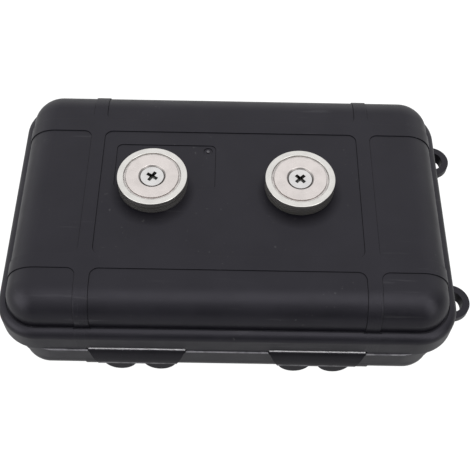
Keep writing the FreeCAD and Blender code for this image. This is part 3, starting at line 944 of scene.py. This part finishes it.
def thread_ridge(low, high, pitch, root, crest):
    """Helical ridge with a triangular section and closed ends."""
    deselect_all()
    bpy.ops.mesh.primitive_circle_add(vertices=3, radius=MM)
    ridge = bpy.context.object
    corners = ((crest, 0), (root, 0.44 * pitch), (root, -0.44 * pitch))
    for vertex, (radius, height) in zip(ridge.data.vertices, corners):
        vertex.co = Vector((radius, 0, low + height)) * MM
    carried = ridge.modifiers.new("thread", "SCREW")
    carried.screw_offset = pitch * MM
    carried.iterations = int((high - low) / pitch)
    carried.steps = 40
    carried.render_steps = 40
    take(ridge)
    bpy.ops.object.modifier_apply(modifier=carried.name)
    bpy.ops.object.mode_set(mode="EDIT")
    bpy.ops.mesh.select_all(action="SELECT")
    bpy.ops.mesh.remove_doubles(threshold=MERGE)
    bpy.ops.mesh.fill_holes(sides=3)
    bpy.ops.mesh.select_all(action="SELECT")
    bpy.ops.mesh.normals_make_consistent(inside=False)
    bpy.ops.object.mode_set(mode="OBJECT")
    return ridge


ridge = thread_ridge(low=screw_low + 0.9, high=0.8, pitch=0.8, root=1.95, crest=2.47)
boolean(screw, ridge, "UNION")
print("threaded screw faces", len(screw.data.polygons))


# %% Cross recess
wing_length = 6.2
wing_width = 1.5
wing_depth = 2.2


def is_upright(edge):
    """Edge that runs from the top of the cutter to its foot."""
    return abs(edge.verts[0].co.z - edge.verts[1].co.z) > wing_depth * MM


def recess_wing(turn):
    """Tapered cutter for one slot of the cross, turned about the axis."""
    deselect_all()
    bpy.ops.mesh.primitive_cube_add(size=1, location=(0, 0, 0))
    wing = bpy.context.object
    bpy.ops.object.mode_set(mode="EDIT")
    bpy.ops.transform.resize(value=(wing_length * MM, wing_width * MM, 2 * wing_depth * MM))
    choose("faces", lambda face: face.normal.z < -0.5)
    bpy.ops.transform.resize(value=(0.42, 0.7, 1))
    choose("edges", is_upright)
    bpy.ops.mesh.bevel(offset=0.18 * MM, segments=3)
    bpy.ops.mesh.select_all(action="SELECT")
    bpy.ops.transform.rotate(value=turn, orient_axis="Z", center_override=(0, 0, 0))
    bpy.ops.transform.translate(value=(0, 0, head_top * MM))
    bpy.ops.object.mode_set(mode="OBJECT")
    return wing


left_turn = math.radians(32)
right_turn = math.radians(45)
for quarter in (left_turn, left_turn + math.pi / 2):
    boolean(screw, recess_wing(quarter), "DIFFERENCE")
set_down(screw)
# Faces inside the cross recess take the darker tint: painted shade with some oily dirt.
place_pair(screw, "screw", "magnet_screw", screw_zinc, recess_dirt_and_shade,
           where=lambda face: radius_of(face) < 2.6 and 2.6 < height_of(face) < 4.93,
           turn=right_turn - left_turn)

# %% [markdown]
# ## Washers
# A washer is punched from sheet, so it is a plain ring with slightly rounded edges and
# is turned as the magnets are. It lies against the lid's ceiling, 2.8 mm below the
# surface that the magnets stand on.

# %% Washers
washer_top = -2.8
washer_low = -3.8
washer_radius = 5.0
washer = turned("washer_ring_left", [
    (bore, washer_low), (washer_radius, washer_low), (washer_radius, washer_top),
    (bore, washer_top)])
soften(washer, 0.18 * MM, 3, 25)
set_down(washer)
place_pair(washer, "washer_ring", "washer", nut_zinc)

# %% [markdown]
# ## Lock nuts
# A hexagon is cut from bar and its corners are turned off, which leaves curved
# chamfers: here a six-sided cylinder meets a turned blank, and only what both hold is
# kept. The crimped collar below it holds a nylon ring that grips the thread.

# %% Lock nuts
across_flats = 8.0
nut_height = 3.6
nut_middle = washer_low - nut_height / 2
thread_hole = 2.56
nylon_radius = 2.95
nylon_top = -7.4
deselect_all()
bpy.ops.mesh.primitive_cylinder_add(
    vertices=6, radius=across_flats / math.sqrt(3) * MM, depth=nut_height * MM,
    location=(0, 0, nut_middle * MM), rotation=(0, 0, math.radians(30)))
nut = bpy.context.object
nut.name = "nut_left"
bpy.ops.object.transform_apply(location=True, rotation=True, scale=True)
blank = turned("blank", [
    (0, -7.5), (4.02, -7.5), (4.62, -7.15), (4.62, -4.05), (4.1, -3.75), (0, -3.75)],
    closed=False)
boolean(nut, blank, "INTERSECT")
collar = turned("collar", [
    (0, -8.5), (3.15, -8.6), (3.4, -8.5), (3.5, -8.25), (3.5, -7.0), (0, -7.0)],
    closed=False)
boolean(nut, collar, "UNION")
hole = turned("bore", [
    (0, -3.0), (thread_hole, -3.0), (thread_hole, nylon_top), (nylon_radius, nylon_top),
    (nylon_radius, -9.0), (0, -9.0)], closed=False)
boolean(nut, hole, "DIFFERENCE")
set_down(nut)
place_pair(nut, "nut", "lock_nut", nut_zinc)

# %% [markdown]
# ## Nylon rings
# The ring fills the seat in the collar and stands just clear of the thread, where the
# real one grips it. It has a material of its own, so it is made as a piece of its own
# beside the steel nut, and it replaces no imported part.

# %% Nylon rings
nylon_ring = turned("nylon_left", [
    (thread_hole, -8.35), (2.62, -8.45), (nylon_radius, -8.45), (nylon_radius, nylon_top),
    (thread_hole, nylon_top)])
set_down(nylon_ring)
nylon_ring.data.materials.clear()
for side, ring in (("left", nylon_ring), ("right", twin(nylon_ring, "nylon_right"))):
    ring.data.materials.append(nylon)
    finish_piece(ring, "lid")

# %% [markdown]
# ## Pins
# The hinge and latch pins are plain drawn rods. Modelling them again would gain
# nothing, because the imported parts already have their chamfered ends. So they keep
# their shape, and only their material is changed.

# %% Pins
for kind in ("hinge_pin_", "latch_pin_"):
    for side in axes:
        pin = nodes[kind + side]
        pin.data.materials.clear()
        pin.data.materials.append(pin_steel)
        print(pin.name, "takes the drawn steel")

# %% [markdown]
# ## Floor
# The case stands on a seamless sheet that reads as white. A sheet that is only lit
# comes out grey beside a black object, so the camera sees it as a surface that glows
# by itself, with a small diffuse share that keeps the case's shadow. Gloss sees a part
# of that glow too, and for the rest the sheet as it is lit, which is dimmer close to
# the case: that's what keeps the upright faces of black plastic dark.

# %% Floor
deselect_all()
bpy.ops.mesh.primitive_plane_add(size=20, location=(0, 0, 0))
floor = bpy.context.object
floor.name = "floor"
paper, tree, shader, place = new_finish("white_paper")
fibres = noise(tree, place, 900, detail=3)
tree.links.new(
    blend_colours(tree, fibres, (0.36, 0.36, 0.36), (0.40, 0.40, 0.40)),
    shader.inputs["Base Color"])
shader.inputs["Roughness"].default_value = 0.9
shader.inputs["Specular IOR Level"].default_value = 0.1
glow = tree.nodes.new("ShaderNodeEmission")
glow.inputs["Strength"].default_value = 0.96
faint = tree.nodes.new("ShaderNodeBsdfDiffuse")
faint.inputs["Color"].default_value = (0.14, 0.14, 0.14, 1)
backlit = tree.nodes.new("ShaderNodeAddShader")
tree.links.new(glow.outputs[0], backlit.inputs[0])
tree.links.new(faint.outputs[0], backlit.inputs[1])
seen = tree.nodes.new("ShaderNodeLightPath")
gloss_share = 0.24
in_gloss = combine(tree, "MULTIPLY", seen.outputs["Is Glossy Ray"], gloss_share)
either = combine(tree, "MAXIMUM", seen.outputs["Is Camera Ray"], in_gloss)
either = combine(tree, "MAXIMUM", either, seen.outputs["Is Transmission Ray"])
mixer = tree.nodes.new("ShaderNodeMixShader")
tree.links.new(either, mixer.inputs[0])
tree.links.new(shader.outputs[0], mixer.inputs[1])
tree.links.new(backlit.outputs[0], mixer.inputs[2])
tree.links.new(mixer.outputs[0], tree.nodes["Material Output"].inputs["Surface"])
floor.data.materials.append(paper)
print("floor laid")

# %% [markdown]
# ## Light
# A black case shows its form only through reflections, so it is lit by large soft
# faces. One softbox above the front edge draws the light band along the lid's
# shoulder, and two at the front corners light the rounded corners. Each lamp is set by
# how brightly its face glows, where 1 is white, and its watts follow from its size.

# %% Softboxes
def softbox(name, turn, rise, distance, size, glow_level):
    """Area lamp that faces the case from a direction, glowing at a level."""
    direction = Vector((
        math.sin(math.radians(turn)) * math.cos(math.radians(rise)),
        -math.cos(math.radians(turn)) * math.cos(math.radians(rise)),
        math.sin(math.radians(rise))))
    lamp_data = bpy.data.lights.new(name, "AREA")
    lamp_data.shape = "RECTANGLE"
    lamp_data.size, lamp_data.size_y = size
    lamp_data.energy = glow_level * math.pi * size[0] * size[1]
    lamp = bpy.data.objects.new(name, lamp_data)
    lamp.location = Vector((0, 0, 30 * MM)) + distance * direction
    lamp.rotation_mode = "QUATERNION"
    lamp.rotation_quaternion = direction.to_track_quat("Z", "Y")
    lamp.visible_camera = False
    scene.collection.objects.link(lamp)
    print(name, "watts", round(lamp_data.energy, 2))


softbox("overhead", 22, 71, 1.0, (1.0, 0.6), 1.1)
softbox("front_left", -61, 22, 1.0, (0.75, 0.8), 1.4)
softbox("front_right", 51, 28, 1.0, (0.5, 0.9), 1.9)

# %% [markdown]
# ## Room
# The room behind and above is white and the room in front is dark, so the flat lid
# shines evenly and the front of the lid falls off to black. That is a gradient over
# the direction that a ray leaves in. It lights the case and shows in its gloss, while
# the camera, and anything seen through a clear material, finds plain white.

# %% Room
world = bpy.data.worlds.new("studio")
scene.world = world
world.use_nodes = True
tree = world.node_tree
direction = tree.nodes.new("ShaderNodeTexCoord").outputs["Generated"]
split = tree.nodes.new("ShaderNodeSeparateXYZ")
tree.links.new(direction, split.inputs[0])
level = combine(tree, "ADD", split.outputs["Y"], split.outputs["Z"])
level = combine(tree, "ADD", level, combine(tree, "MULTIPLY", split.outputs["X"], -0.7))
dark_front = 0.18
bright_back = 1.07
room = remap(tree, level, -0.9, 0.5, dark_front, bright_back)
seen = tree.nodes.new("ShaderNodeLightPath")
white = combine(
    tree, "MAXIMUM", seen.outputs["Is Camera Ray"], seen.outputs["Is Transmission Ray"])
background = tree.nodes["Background"]
background.inputs["Color"].default_value = (1, 1, 1, 1)
tree.links.new(combine(tree, "MAXIMUM", room, white), background.inputs["Strength"])
print("room from", dark_front, "in front to", bright_back, "behind")
